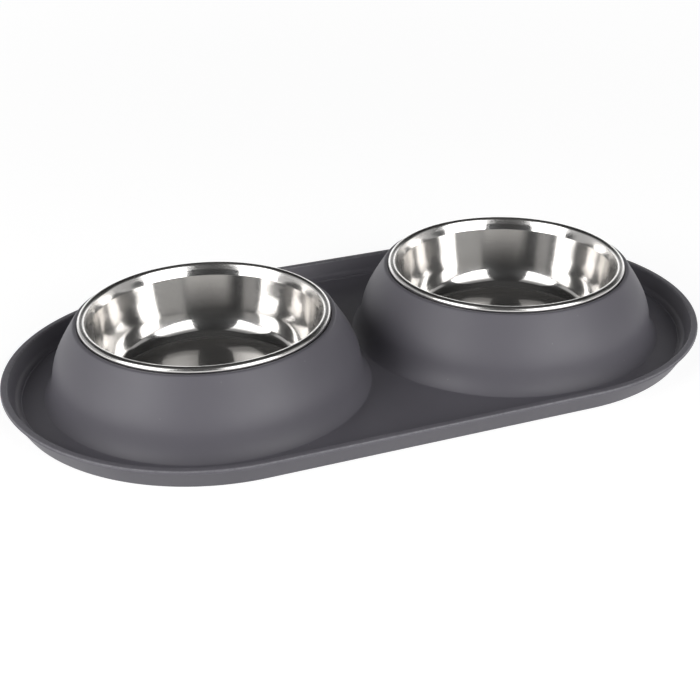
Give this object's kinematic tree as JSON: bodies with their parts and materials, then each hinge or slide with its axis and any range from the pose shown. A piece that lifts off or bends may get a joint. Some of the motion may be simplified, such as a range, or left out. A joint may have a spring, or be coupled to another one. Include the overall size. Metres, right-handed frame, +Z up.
{
  "type": "double pet bowl",
  "caption": "Round steel feeding bowls that lift out of bell-shaped collars in a one-piece moulded tray with a raised, flared lip.",
  "frame": {"origin": "on the table, midway between the middles of the two bowls", "axes": "+X along the row of bowls, towards the right bowl; +Y to the back; +Z up"},
  "size_m": [0.4742, 0.2624, 0.0533],
  "materials": {
    "moulded_silicone": "satin moulded silicone, dark grey",
    "polished_steel": "polished stainless steel with fine circular rub marks"
  },
  "bodies": {
    "tray": {"tray": "moulded_silicone"},
    "left_bowl": {"left_bowl": "polished_steel"},
    "right_bowl": {"right_bowl": "polished_steel"}
  },
  "joints": [
    {"name": "left_lift", "type": "slide", "parent": "tray", "child": "left_bowl", "axis": [0, 0, 1], "range_m": [0, 0.08]},
    {"name": "right_lift", "type": "slide", "parent": "tray", "child": "right_bowl", "axis": [0, 0, 1], "range_m": [0, 0.08]}
  ]
}
